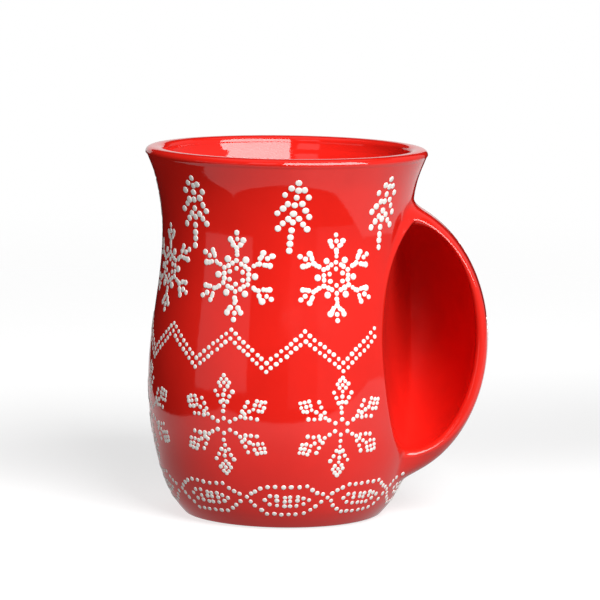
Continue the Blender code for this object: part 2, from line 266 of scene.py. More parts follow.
class Form:
    """The pot's radii as functions of angle and height, in millimetres."""

    def __init__(self, sizes):
        self.height = sizes.height / MM
        self.rim = sizes.rim_radius / MM
        self.waist = sizes.waist_radius / MM
        self.belly = sizes.belly_radius / MM
        self.reach = sizes.pocket_reach / MM
        self.wall = sizes.wall / MM
        self.wave = sizes.wave / MM

    def body(self, z):
        """Quarter ellipse up to the belly, cosine wave to the waist, square-law flare to the rim."""
        z = np.asarray(z, float)
        drop = np.clip((BELLY_HEIGHT - z) / FOOT_CURVE_HEIGHT, 0.0, 1.0)
        lower = self.belly - FOOT_CURVE_WIDTH * (1.0 - np.sqrt(1.0 - drop * drop))
        lower = lower - FOOT_TUCK * (1.0 - smooth_step(z / FOOT_TUCK_HEIGHT))
        wave = np.cos(np.pi * (z - BELLY_HEIGHT) / (WAIST_HEIGHT - BELLY_HEIGHT))
        middle = (self.belly + self.waist + (self.belly - self.waist) * wave) / 2.0
        rise = np.clip((z - WAIST_HEIGHT) / (self.height - WAIST_HEIGHT), 0.0, 1.0)
        upper = self.waist + (self.rim - self.waist) * rise * rise
        upper = upper + RIM_FLARE * smooth_step((z - RIM_FLARE_START) / RIM_FLARE_HEIGHT)
        return np.where(z < BELLY_HEIGHT, lower, np.where(z < WAIST_HEIGHT, middle, upper))

    def bulge(self, turn, z):
        """How far the pocket stands out: an ellipse in height that gets shorter and softer
        towards the back, joined softly to the body."""
        back = smooth_step((turn - POCKET_BACK) / POCKET_BACK_SPREAD)
        rise = (z - POCKET_HEIGHT_CENTRE) / (POCKET_HALF_HEIGHT - POCKET_BACK_SHORTER * back)
        room = 1.0 - rise * rise
        softness = np.abs(room) + POCKET_JOIN_SPREAD + POCKET_BACK_SOFTER * back
        side = self.reach - POCKET_CORE_INSET + POCKET_HALF_WIDTH * room / np.sqrt(softness)
        proud = side - self.body(z)
        return (proud + np.sqrt(proud * proud + POCKET_JOIN * POCKET_JOIN)) / 2.0

    def wander(self, angle, z):
        """Two slow sine waves round the pot that drift with height."""
        twice = np.sin(2.0 * angle + 0.8 + z / 70.0)
        thrice = np.sin(3.0 * angle + 2.0 - z / 40.0)
        return self.wave * (twice + 0.6 * thrice)

    def outer(self, angle, z):
        """Body plus bulge, rising steeply at the pocket's front and fading towards the back."""
        turn = np.degrees(angle)
        level = (z - MOUTH_HEIGHT) / POCKET_FRONT_HALF_HEIGHT
        start = POCKET_FRONT_START - POCKET_FRONT_SPREAD * np.clip(1.0 - level * level, 0.0, 1.0)
        front = smooth_step((turn - start) / (POCKET_FRONT - start))
        back = 1.0 - smooth_step((turn - POCKET_BACK) / POCKET_BACK_FADE)
        return self.body(z) + self.bulge(turn, z) * front * back + self.wander(angle, z)

    def skin(self, angle, z):
        """Points of the outside, last axis x, y, z."""
        radius = self.outer(angle, z)
        return np.stack(np.broadcast_arrays(radius * np.cos(angle), radius * np.sin(angle), z), axis=-1)

    def skin_frame(self, angle, z):
        """Point, tangent round the pot and outward normal, from small steps each way."""
        step_a, step_z = 1e-3, 0.05
        round_way = self.skin(angle + step_a, z) - self.skin(angle - step_a, z)
        up_way = self.skin(angle, z + step_z) - self.skin(angle, z - step_z)
        normal = np.cross(round_way, up_way)
        return self.skin(angle, z), unit(round_way), unit(normal)

    def inner(self, angle, z):
        """Inside of the cup: one wall in, and pushed in by the dent behind the finger space.

        The dent is an ellipsoid, so a level ray from the axis meets it at the
        smaller root of a quadratic.
        """
        swell = np.clip((z - RIM_SWELL_HEIGHT) / (self.height - RIM_SWELL_HEIGHT), 0.0, 1.0)
        wall = self.wall + RIM_SWELL * swell * swell
        left, depth = DENT_LEFT, DENT_DEPTH
        level = (z - BOWL_CENTRE[2]) / DENT_HALF_HEIGHT
        area = left[0] * depth[1] - depth[0] * left[1]
        cos, sin = np.cos(angle), np.sin(angle)
        across = (depth[1] * cos - depth[0] * sin) / area
        across_0 = (-depth[1] * BOWL_CENTRE[0] + depth[0] * BOWL_CENTRE[1]) / area
        along = (left[0] * sin - left[1] * cos) / area
        along_0 = (left[1] * BOWL_CENTRE[0] - left[0] * BOWL_CENTRE[1]) / area
        square = across * across + along * along
        half_linear = across * across_0 + along * along_0
        rest = across_0 * across_0 + along_0 * along_0 + level * level - 1.0
        inside = half_linear * half_linear - square * rest
        root = (-half_linear - np.sqrt(np.clip(inside, 0.0, None))) / square
        dent = np.where((inside > 0.0) & (root > 0.0), root, NEVER_MET)
        return soft_min(self.body(z) - wall, dent, DENT_ROUND) + self.wander(angle, z)

    def inside_curve(self, angle):
        """Radius and height down the inner wall and round onto the floor, one row each."""
        z = np.linspace(WALL_TOP, CORNER_TOP, WALL_ROWS)[:, None]
        radius = self.inner(angle[None, :], z)
        bend = np.radians(np.linspace(0.0, 90.0, CORNER_ROWS)[1:])[:, None]
        corner = radius[-1:] - CORNER_ROUND * (1.0 - np.cos(bend))
        corner_z = CORNER_TOP - CORNER_ROUND * np.sin(bend)
        floor = corner[-1:] * np.array(FLOOR_RINGS)[:, None]
        heights = np.concatenate([z, corner_z, np.full((len(FLOOR_RINGS), 1), corner_z[-1, 0])])
        return np.concatenate([radius, corner, floor]), np.broadcast_to(heights, (len(heights), len(angle)))


def past_behind(angle):
    """Angles beyond the break behind the pot, counted from the other side of it instead."""
    return np.where(angle > np.radians(BEHIND), angle - 2.0 * np.pi, angle)


def unit(v):
    return v / np.linalg.norm(v, axis=-1, keepdims=True)


def mouth_angles(z):
    """Right and left edge of the pocket's mouth, in degrees; equal above and below it."""
    level = np.clip((z - MOUTH_HEIGHT) / MOUTH_HALF, -1.0, 1.0)
    open_by = np.sqrt(1.0 - level * level)
    middle = (MOUTH_TOP_ANGLE + MOUTH_BOTTOM_ANGLE + (MOUTH_TOP_ANGLE - MOUTH_BOTTOM_ANGLE) * level) / 2.0
    right = middle + (POCKET_FRONT - middle) * open_by ** MOUTH_RIGHT_BEND
    above, below = open_by ** MOUTH_LEFT_BEND_ABOVE, open_by ** MOUTH_LEFT_BEND_BELOW
    left = middle + (MOUTH_LEFT_ANGLE - middle) * np.where(level > 0.0, above, below)
    return right, left


# ---- meshes ------------------------------------------------------------------

def make_object(name, points, faces, attributes=None):
    """A smooth-shaded object from points in millimetres; unused points are dropped."""
    used = np.unique(np.concatenate([f.ravel() for f in faces]))
    place = np.zeros(len(points), int)
    place[used] = np.arange(len(used))
    verts = (points[used] + [AXIS_X, 0.0, 0.0]) * MM
    mesh = bpy.data.meshes.new(name)
    mesh.from_pydata(verts.tolist(), [], sum((place[f].tolist() for f in faces), []))
    for key, values in (attributes or {}).items():
        layer = mesh.attributes.new(key, "FLOAT", "POINT")
        layer.data.foreach_set("value", values[used].astype(np.float32))
    mesh.shade_smooth()
    obj = bpy.data.objects.new(name, mesh)
    bpy.context.scene.collection.objects.link(obj)
    return obj


def grid_faces(index):
    """Quads between neighbouring rows and columns of a table of point numbers."""
    return np.stack([index[:-1, :-1], index[:-1, 1:], index[1:, 1:], index[1:, :-1]], -1).reshape(-1, 4)


def fan_faces(ring, tip, outwards=True):
    """Triangles from a closed ring of point numbers to one point."""
    after = np.roll(ring, -1)
    tips = np.full_like(ring, tip)
    return np.stack([ring, after, tips] if outwards else [after, ring, tips], -1)


def finish(obj, node_names, material):
    obj.data.materials.append(material)
    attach(obj, "root")
    if node_names:
        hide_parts(*node_names)
    return obj


def build_glazed_body(form):
    """The whole cast: foot cove, outside, rim and inside are one stack of level rows,
    and the finger space is a second grid sewn to the hole that its mouth leaves.

    The lip between the outside and the finger space is a cubic Hermite curve; the
    space itself is a quarter turn from each point of the lip to one end point.
    """
    mouth_turn = np.linspace(np.pi, 0.0, MOUTH_ROWS + 1)
    share_up = np.linspace(0.0, 1.0, LOW_ROWS + 1)[:-1] ** LOW_ROWS_GROWTH
    low = GLAZE_EDGE + (MOUTH_HEIGHT - MOUTH_HALF - GLAZE_EDGE) * share_up
    mid = MOUTH_HEIGHT + MOUTH_HALF * np.cos(mouth_turn)
    high = np.linspace(MOUTH_HEIGHT + MOUTH_HALF, WALL_TOP, HIGH_ROWS + 1)[1:]
    z = np.concatenate([low, mid, high])
    first_mouth = len(low)
    right, left = mouth_angles(z)
    step = np.linspace(0.0, 1.0, COLUMNS + 1)
    angle = np.radians(right[:, None] + step * (360.0 - (right - left))[:, None])
    wrapped = (angle + np.pi) % (2.0 * np.pi) - np.pi
    wrapped = np.where(wrapped < np.radians(BEHIND - 360.0), wrapped + 2.0 * np.pi, wrapped)
    outside = form.skin(wrapped, np.broadcast_to(z[:, None], angle.shape))

    base_angle = angle[0]
    foot_edge = float(form.body(GLAZE_EDGE))
    cove = np.array([*COVE, (foot_edge - 1.2, GLAZE_EDGE - 0.12), (foot_edge - 0.4, GLAZE_EDGE - 0.12)])
    under = np.stack([cove[:, :1] * np.cos(base_angle), cove[:, :1] * np.sin(base_angle),
                      np.broadcast_to(cove[:, 1:], (len(cove), COLUMNS + 1))], -1)

    top_angle = angle[-1]
    turn = np.radians(np.linspace(0.0, 180.0, RIM_ROWS))[:, None]
    across = np.sign(np.cos(turn)) * np.abs(np.cos(turn)) ** (2.0 / RIM_POWER)
    rise = np.abs(np.sin(turn)) ** (2.0 / RIM_POWER)
    rim_r = RIM_CENTRE + RIM_HALF * across + form.wander(top_angle[None, :], RIM_BASE)
    rim_z = RIM_BASE + (form.height - RIM_BASE) * rise + 0.0 * top_angle
    rim = np.stack([rim_r * np.cos(top_angle), rim_r * np.sin(top_angle), rim_z], -1)

    wrapped_top = wrapped[-1]
    in_r, in_z = form.inside_curve(wrapped_top)
    inside = np.stack([in_r * np.cos(top_angle), in_r * np.sin(top_angle), in_z], -1)

    rows = np.concatenate([under, outside, rim, inside])
    index = np.arange(rows.shape[0] * rows.shape[1]).reshape(rows.shape[:2])
    open_row = np.zeros(len(rows), bool)
    m0 = len(under) + first_mouth
    m1 = m0 + MOUTH_ROWS
    open_row[m0 + 1:m1] = True
    index[~open_row, -1] = index[~open_row, 0]
    points = rows.reshape(-1, 3)
    faces = [grid_faces(index)]
    under_pole = len(points)
    floor_pole = under_pole + 1
    points = np.concatenate([points, [[0.0, 0.0, COVE_TOP], [0.0, 0.0, float(in_z[-1, 0])]]])
    faces.append(fan_faces(index[0, :-1], under_pole, outwards=False))
    faces.append(fan_faces(index[-1, :-1], floor_pole))

    ring = np.concatenate([index[m0:m1 + 1, 0][::-1], index[m0 + 1:m1, -1]])
    psi = np.concatenate([mouth_turn[::-1], 2.0 * np.pi - mouth_turn[1:-1]])
    edge = points[ring]
    edge_angle = np.arctan2(edge[:, 1], edge[:, 0])
    _, _, normal = form.skin_frame(edge_angle, edge[:, 2])
    along = unit(np.roll(edge, -1, axis=0) - np.roll(edge, 1, axis=0))
    into = unit(np.cross(along, normal))
    into = into * np.sign(np.median(np.sum(into * (BOWL_CENTRE - edge), axis=1)))
    side = np.sin(psi)
    set_back = np.where(side > 0.0, LIP_SET_BACK - LIP_SET_BACK * side, LIP_SET_BACK - side)
    lip = np.stack([BOWL_CENTRE[0] + np.where(side > 0.0, BOWL_HALF_RIGHT, BOWL_HALF_LEFT) * side,
                    edge[:, 1] + set_back,
                    BOWL_CENTRE[2] + BOWL_HALF * np.cos(psi)], -1)
    inwards = unit(BOWL_END - BOWL_CENTRE)
    pull = (LIP_PULL + LIP_PULL_RIGHT * np.clip(side, 0.0, None))[:, None]
    t = np.linspace(0.0, 1.0, LIP_ROWS + 1)[1:, None, None]
    h00, h10 = 2 * t ** 3 - 3 * t ** 2 + 1, t ** 3 - 2 * t ** 2 + t
    h01, h11 = 3 * t ** 2 - 2 * t ** 3, t ** 3 - t ** 2
    lip_rows = h00 * edge + h10 * pull * into + h01 * lip + h11 * pull * inwards
    w = np.radians(np.linspace(0.0, 90.0, BOWL_ROWS + 2)[1:-1])[:, None, None]
    bowl_rows = BOWL_CENTRE + np.cos(w) * (lip - BOWL_CENTRE) + np.sin(w) * (BOWL_END - BOWL_CENTRE)
    space = np.concatenate([lip_rows, bowl_rows])
    start = len(points)
    space_index = start + np.arange(space.shape[0] * space.shape[1]).reshape(space.shape[:2])
    space_index = np.concatenate([ring[None, :], space_index])
    space_index = np.concatenate([space_index, space_index[:, :1]], axis=1)
    points = np.concatenate([points, space.reshape(-1, 3), [BOWL_END]])
    quads = grid_faces(space_index)[:, ::-1]
    faces.append(quads)
    faces.append(fan_faces(space_index[-1, :-1], len(points) - 1, outwards=False))

    looks = glaze_depths(form, points, start, t[:, 0, 0], lip[:, 1], len(space))
    return make_object("glazed_body", points, faces, looks)


def glaze_depths(form, points, start, lip_way, lip_y, rows):
    """Where the glaze is thin (a bell curve across the lip), where the finger space is deep
    (a smooth rise behind the lip), where the rim's crest is darker, and where shade is painted in the upper
    left of the space.
    """
    thin = np.zeros(len(points))
    on_lip = THIN_GLAZE * np.exp(-((lip_way - LIP_CREST) / LIP_CREST_WIDTH) ** 2)
    thin[start:start + len(lip_way) * len(lip_y)] = np.repeat(on_lip, len(lip_y))
    deep = np.zeros(len(points))
    lip_behind = np.concatenate([np.tile(lip_y, rows), [BOWL_END_LIP]])
    deep[start:] = smooth_step((points[start:, 1] - lip_behind) / DEEP_WITHIN)
    # Darker along the rim's crest.
    crest_and_painted_shade = RIM_CREST_DARKENING * np.exp(-((points[:, 2] - form.height) / RIM_CREST_DARKENING_WIDTH) ** 2)
    x, y, z = points[start:].T
    # Painted shade: darker towards the upper left of the finger space, deep inside it.
    crest_and_painted_shade[start:] = (smooth_step((y - PAINTED_SHADE_FRONT) / PAINTED_SHADE_FRONT_FADE)
                    * (1.0 - smooth_step((x - PAINTED_SHADE_RIGHT) / PAINTED_SHADE_RIGHT_FADE))
                    * smooth_step((z - PAINTED_SHADE_LOW) / PAINTED_SHADE_LOW_FADE))
    return {"thin": thin, "deep": deep, "crest_and_painted_shade": crest_and_painted_shade}


def build_liner(form):
    """A thin closed cup on the inner wall whose top edge dips into the wall, out of sight."""
    angle = np.linspace(0.0, 2.0 * np.pi, RING_COLUMNS + 1)
    wrapped = past_behind(angle)
    base_r, base_z = form.inside_curve(wrapped)
    coat = -COAT_HIDDEN + COAT_THICKNESS * smooth_step((COAT_TOP - base_z) / COAT_TOP_FADE)
    on_floor = smooth_step((CORNER_TOP - base_z) / CORNER_ROUND)
    front_r, front_z = base_r - coat * (1.0 - on_floor), base_z + coat * on_floor
    back_r, back_z = base_r + COAT_BACK * (1.0 - on_floor), base_z - COAT_BACK * on_floor
    radius = np.concatenate([back_r[::-1], front_r])
    height = np.concatenate([back_z[::-1], front_z])
    rows = np.stack([radius * np.cos(angle), radius * np.sin(angle), height], -1)
    index = np.arange(rows.shape[0] * rows.shape[1]).reshape(rows.shape[:2])
    index[:, -1] = index[:, 0]
    points = rows.reshape(-1, 3)
    ends = [[0.0, 0.0, float(back_z[-1, 0])], [0.0, 0.0, float(front_z[-1, 0])]]
    faces = [grid_faces(index), fan_faces(index[0, :-1], len(points), outwards=False),
             fan_faces(index[-1, :-1], len(points) + 1)]
    points = np.concatenate([points, ends])
    return make_object("glaze_liner", points, faces)


def build_foot(form):
    """The bare foot: a rounded section turned about the axis, with three slow waves left by grinding."""
    angle = np.linspace(0.0, 2.0 * np.pi, RING_COLUMNS + 1)
    outer = float(form.body(GLAZE_EDGE)) - 1.0
    bend = np.radians(np.linspace(0.0, 90.0, 7))
    out_r = outer - FOOT_OUTER_ROUND + FOOT_OUTER_ROUND * np.cos(bend)
    out_z = FOOT_ROUND_HEIGHT - FOOT_ROUND_HEIGHT * np.sin(bend)
    in_r = FOOT_INNER_RADIUS - FOOT_INNER_ROUND * np.sin(bend)
    in_z = FOOT_ROUND_HEIGHT - FOOT_ROUND_HEIGHT * np.cos(bend)
    section = np.array([(FOOT_INNER_RADIUS - 0.1, FOOT_TOP), (outer - 0.8, FOOT_TOP), *zip(out_r, out_z),
                        (FOOT_INNER_RADIUS + 2.0, 0.0), *zip(in_r, in_z)])
    r = section[:, :1] + FOOT_WAVE * np.sin(3.0 * angle + 1.0)
    z = section[:, 1:] + 0.0 * angle
    rows = np.stack([r * np.cos(angle), r * np.sin(angle), z], -1)[::-1]
    rows = np.concatenate([rows, rows[:1]])
    index = np.arange(rows.shape[0] * rows.shape[1]).reshape(rows.shape[:2])
    index[:, -1] = index[:, 0]
    index[-1] = index[0]
    return make_object("bare_foot", rows.reshape(-1, 3), [grid_faces(index)])


# ---- slip dots ---------------------------------------------------------------

TREE = np.array([
    (1.4, 11.4), (-0.7, 9.4), (1.3, 8.7), (3.3, 8.9), (-3.0, 7.2), (0.7, 6.3), (4.7, 6.4),
    (-1.8, 4.1), (0.3, 3.9), (2.9, 4.2), (-3.4, 2.6), (3.9, 2.0), (-5.3, 1.1), (0.0, 1.0),
    (5.1, -0.1), (-1.8, -0.8), (-0.2, -2.0), (1.8, -0.8), (-3.4, -2.4), (3.0, -2.6),
    (-5.2, -4.0), (-0.6, -4.7), (4.5, -4.3), (-0.9, -7.1), (-1.1, -9.1), (-1.3, -11.4)])
TREE_LEAN = 0.104
TREE_HEIGHT, TREE_PITCH = 105.9, 36.0
UPPER_HEIGHT, UPPER_PITCH = 85.5, 34.0
ZIGZAG_FOOT, ZIGZAG_RISE, ZIGZAG_PITCH = 57.6, 10.3, 26.1
ZIGZAG_ROW_GAP = 2.9
ZIGZAG_DOTS = 16
LOWER_HEIGHT, LOWER_PITCH = 36.0, 40.5
CHAIN_HEIGHT, CHAIN_PITCH = 11.6, 27.2
CHAIN_LIMIT = 2.2

# A dot: rings out and up as shares of its radius and rise, and how far hands stray.
DOT_SIDES = 10
DOT_RINGS = [1.0, 0.94, 0.70]
DOT_LIFTS = [-0.12, 0.60, 0.93]
DOT_SUNK = 0.12
DOT_POINTS = DOT_SIDES * len(DOT_RINGS) + 2
DOT_TIP = DOT_POINTS - 2
STRAY = 0.10
STRAY_RADIUS = 45.0
STRAY_SIZE, STRAY_SHAPE, STRAY_RISE = 0.05, 0.06, 0.08
CLEAR_OF_MOUTH = 1.3
LOWEST_DOT = 3.0
HIGHEST_DOT = RIM_BASE - 2.0

# Distance out along an arm, distance to its side, size as a share of the dot.
UPPER_ARM = np.array([
    (2.65, 0.0, 0.95), (5.1, 0.0, 1.0), (7.1, 0.0, 0.95), (8.1, 0.0, 0.95), (9.1, 0.0, 1.0),
    (10.3, -1.3, 1.0), (11.0, -1.8, 0.95), (12.0, -2.4, 1.18), (10.3, 1.3, 1.0), (11.0, 1.8, 0.95),
    (12.0, 2.4, 1.15), (12.2, 0.0, 1.0), (14.2, 0.0, 1.05)])
UPPER_BETWEEN = np.array([(4.35, -0.75, 1.0), (4.35, 0.75, 1.0), (6.5, 0.0, 1.35)])
LOWER_ARM = np.array([
    (2.6, 0.0, 1.08), (4.9, 0.0, 1.05), (6.7, 0.0, 1.0), (8.1, -1.25, 1.05), (8.55, 0.0, 1.05),
    (8.1, 1.25, 1.05), (10.4, 0.0, 1.05), (12.0, 0.0, 0.9), (9.9, -2.2, 1.05), (11.5, -3.3, 1.05),
    (9.9, 2.2, 1.0), (11.5, 3.2, 1.0), (13.2, -1.2, 1.0), (13.2, 1.2, 1.0), (14.4, -2.0, 1.0),
    (14.4, 0.0, 0.95), (14.4, 2.0, 1.0), (15.6, -1.0, 1.0), (15.6, 1.0, 1.0), (16.6, 0.0, 1.0)])
CHAIN_LOOP = np.array([
    (-13.5, 0.0), (-12.0, 1.3), (-10.4, 2.3), (-8.7, 3.3), (-6.3, 4.2), (-3.8, 4.1), (-1.3, 4.0),
    (1.3, 4.0), (3.9, 4.1), (6.4, 4.3), (8.4, 2.95), (10.05, 1.8), (11.9, 1.1),
    (-12.2, -1.5), (-11.0, -3.1), (-8.9, -4.4), (-6.95, -5.7), (-4.4, -5.8), (-1.95, -5.85),
    (0.85, -5.9), (3.45, -5.8), (6.2, -5.6), (8.4, -4.5), (10.1, -3.1), (11.9, -1.6),
    (-7.4, -0.7), (-5.7, 0.6), (-5.8, -2.3), (-3.4, 0.7), (-3.4, -1.0), (-3.3, -2.8),
    (-0.7, 0.3), (-0.7, -1.0), (-0.8, -2.9), (1.1, 0.3), (1.1, -1.0), (1.1, -2.9),
    (3.5, 0.35), (3.5, -1.0), (3.4, -2.9), (5.5, -0.2), (5.6, -2.0), (7.5, -0.85)])


def star(arm, between=None):
    """Six arms from a table of places along one arm, and six copies of what lies between."""
    parts = []
    for table, offset in ((arm, 30.0), (between, 0.0)):
        if table is None:
            continue
        turn = np.radians(offset + 60.0 * np.arange(6))[:, None]
        out, side, size = table[:, 0], table[:, 1], table[:, 2]
        u = out * np.cos(turn) - side * np.sin(turn)
        v = out * np.sin(turn) + side * np.cos(turn)
        parts.append(np.stack([u, v, np.broadcast_to(size, u.shape)], -1).reshape(-1, 3))
    return np.concatenate(parts)


class Girth:
    """Length round the outside at one height, and back from length to angle."""

    def __init__(self, form, z):
        self.angle = np.radians(np.linspace(-90.0, 270.0, 1441))
        walk = form.skin(past_behind(self.angle), np.full(self.angle.shape, z))
        step = np.linalg.norm(np.diff(walk, axis=0), axis=1)
        self.run = np.concatenate([[0.0], np.cumsum(step)])
        self.total = self.run[-1]

    def at(self, azimuth):
        """Length to a place given in degrees from the front, right positive."""
        turned = azimuth - 90.0 if azimuth >= 0.0 else azimuth + 270.0
        run = np.interp(np.radians(turned), self.angle, self.run)
        return run if azimuth >= 0.0 else run - self.total

    def angles(self, run):
        return np.interp(np.mod(run, self.total), self.run, self.angle)


def stations(girth, seen, begin, pitch):
    """The seen places, then even steps from begin round the back to the first seen one."""
    known = [girth.at(a) for a in seen]
    stop = known[0] + girth.total
    count = max(1, int(round((stop - begin) / pitch)))
    rest = begin + (stop - begin) * np.arange(count) / count
    return np.concatenate([known, rest])


def off_bulge(form, dots):
    """Only the dots where the pocket hardly stands off the body."""
    return dots[form.outer(past_behind(dots[:, 0]), dots[:, 1]) - form.body(dots[:, 1]) < CHAIN_LIMIT]


def place(girth, centres, z0, pattern, dot, leans=None):
    """Dots of a motif round the pot: rows of angle, height and radius."""
    lean = np.zeros(len(centres)) if leans is None else leans
    u = pattern[:, 0] * np.cos(lean)[:, None] + pattern[:, 1] * np.sin(lean)[:, None]
    v = -pattern[:, 0] * np.sin(lean)[:, None] + pattern[:, 1] * np.cos(lean)[:, None]
    size = pattern[:, 2] if pattern.shape[1] > 2 else np.ones(len(pattern))
    angle = girth.angles(centres[:, None] + u)
    radius = np.broadcast_to(size * dot / 2.0, angle.shape)
    return np.stack([angle, z0 + v, radius], -1).reshape(-1, 3)


def build_dots(name, form, slip, dots, seed):
    """Low domes on the skin: each is three rings and a tip over a sunk flat base."""
    rng = np.random.default_rng(slip.seed * 100 + seed)
    angle, z, radius = dots.T
    angle = angle + rng.normal(0.0, STRAY, len(dots)) / STRAY_RADIUS
    z = z + rng.normal(0.0, STRAY, len(dots))
    radius = radius * (1.0 + rng.normal(0.0, STRAY_SIZE, len(dots)))
    wrapped = past_behind(angle)
    turn = np.degrees(wrapped)
    spare = CLEAR_OF_MOUTH + radius
    level = np.clip((z - MOUTH_HEIGHT) / (MOUTH_HALF + spare), -1.0, 1.0)
    right, left = mouth_angles(MOUTH_HEIGHT + MOUTH_HALF * level)
    inside = ((np.abs(level) < 1.0) & (turn < right + np.degrees(spare / 60.0))
              & (turn > left - np.degrees(spare / 45.0)))
    keep = ~inside & (z > LOWEST_DOT) & (z < HIGHEST_DOT)
    wrapped, z, radius = wrapped[keep], z[keep], radius[keep]
    centre, sideways, normal = form.skin_frame(wrapped, z)
    upways = np.cross(normal, sideways)
    stretch = 1.0 + rng.normal(0.0, STRAY_SHAPE, len(z))[:, None, None]
    spin = rng.uniform(0.0, np.pi, len(z))[:, None]
    tall = slip.rise * (1.0 + rng.normal(0.0, STRAY_RISE, len(z)))

    around = np.linspace(0.0, 2 * np.pi, DOT_SIDES, endpoint=False)
    rho = np.repeat(DOT_RINGS, DOT_SIDES)
    theta = np.tile(around, len(DOT_RINGS))
    du = np.concatenate([rho * np.cos(theta), [0.0, 0.0]])
    dv = np.concatenate([rho * np.sin(theta), [0.0, 0.0]])
    dh = np.concatenate([np.repeat(DOT_LIFTS, DOT_SIDES), [1.0, DOT_LIFTS[0]]])
    cos, sin = np.cos(spin), np.sin(spin)
    a = (du * cos - dv * sin)[..., None] * stretch
    b = (du * sin + dv * cos)[..., None]
    reach = radius[:, None, None]
    sunk = DOT_SUNK * radius[:, None]
    high = (dh * tall[:, None] * radius[:, None] - sunk * (dh < 0.0))[..., None]
    points = (centre[:, None] + reach * (a * sideways[:, None] + b * upways[:, None])
              + high * normal[:, None])
    faces = (dot_faces()[None] + DOT_POINTS * np.arange(len(z))[:, None, None]).reshape(-1, 3)
    # Marks each dot's tip, where the slip material paints shade.
    tip = np.tile((np.arange(DOT_POINTS) == DOT_TIP).astype(float), len(z))
    shade = np.repeat(rng.uniform(0.0, 1.0, len(z)), DOT_POINTS)
    return make_object(name, points.reshape(-1, 3), [faces], {"tip": tip, "shade": shade})


def dot_faces():
    """Triangles of one dot: two bands between its rings, the cap to its tip, and the flat base."""
    ring = np.arange(DOT_SIDES)
    after = np.roll(ring, -1)
    bands = (0, DOT_SIDES)
    tri = [np.stack([ring + k, after + k, after + k + DOT_SIDES], -1) for k in bands]
    tri += [np.stack([ring + k, after + k + DOT_SIDES, ring + k + DOT_SIDES], -1) for k in bands]
    tri.append(fan_faces(ring + 2 * DOT_SIDES, DOT_TIP))
    tri.append(fan_faces(ring, DOT_TIP + 1, outwards=False))
    return np.concatenate(tri)


# ---- materials ---------------------------------------------------------------

class Wire:
    """A shader socket that takes part in Python sums; each sum adds a Math node."""

    def __init__(self, sheet, socket):
        self.sheet, self.socket = sheet, socket

    def maths(self, operation, a, b=0.0):
        return self.sheet.node("ShaderNodeMath", {"operation": operation}, {0: a, 1: b})

    def __add__(self, other):
        return self.maths("ADD", self, other)

    def __sub__(self, other):
        return self.maths("SUBTRACT", self, other)

    def __rsub__(self, other):
        return self.maths("SUBTRACT", other, self)

    def __mul__(self, other):
        return self.maths("MULTIPLY", self, other)

    def power(self, other):
        return self.maths("POWER", self, other)

    __radd__ = __add__
    __rmul__ = __mul__


class Sheet:
    """One material's nodes."""

    def __init__(self, name):
        self.material = bpy.data.materials.new(name)
        self.material.use_nodes = True
        self.tree = self.material.node_tree
        self.shader = self.tree.nodes["Principled BSDF"]
        self.place = self.node("ShaderNodeTexCoord", {}, {}, "Object")

    def node(self, kind, settings, sockets, output=0):
        """Adds a node: settings first, then socket values or links; returns one output."""
        made = self.tree.nodes.new(kind)
        for key, value in settings.items():
            setattr(made, key, value)
        for key, value in sockets.items():
            self.feed(made.inputs[key], value)
        return Wire(self, made.outputs[output])

    def feed(self, socket, value):
        if isinstance(value, Wire):
            self.tree.links.new(value.socket, socket)
        else:
            socket.default_value = value

    def noise(self, scale, detail=3.0, rough=0.5):
        return self.node("ShaderNodeTexNoise", {}, {"Vector": self.place, "Scale": scale,
                                                   "Detail": detail, "Roughness": rough})

    def ramp(self, value, low, high):
        return self.node("ShaderNodeMapRange", {"interpolation_type": "SMOOTHSTEP"},
                         {"Value": value, "From Min": low, "From Max": high})

    def mix(self, factor, a, b):
        return self.node("ShaderNodeMix", {"data_type": "RGBA"}, {0: factor, 6: a, 7: b}, 2)

    def attribute(self, name):
        return self.node("ShaderNodeAttribute", {"attribute_name": name}, {}, "Fac")

    def bump(self, height, strength, distance):
        return self.node("ShaderNodeBump", {}, {"Height": height, "Strength": strength,
                                                "Distance": distance})

    def from_middle(self):
        """Distance from the middle of the stage."""
        return self.node("ShaderNodeVectorMath", {"operation": "LENGTH"}, {0: self.place}, "Value")

    def along(self, axis):
        return self.node("ShaderNodeSeparateXYZ", {}, {0: self.place}, axis)

    def surface(self, **sockets):
        for key, value in sockets.items():
            self.feed(self.shader.inputs[key.replace("_", " ")], value)
        return self.material


BLACK = (0.0, 0.0, 0.0, 1.0)
WHITE = (1.0, 1.0, 1.0, 1.0)


def rgba(value, gain=1.0):
    return tuple(min(1.0, c * gain) for c in value) + (1.0,)


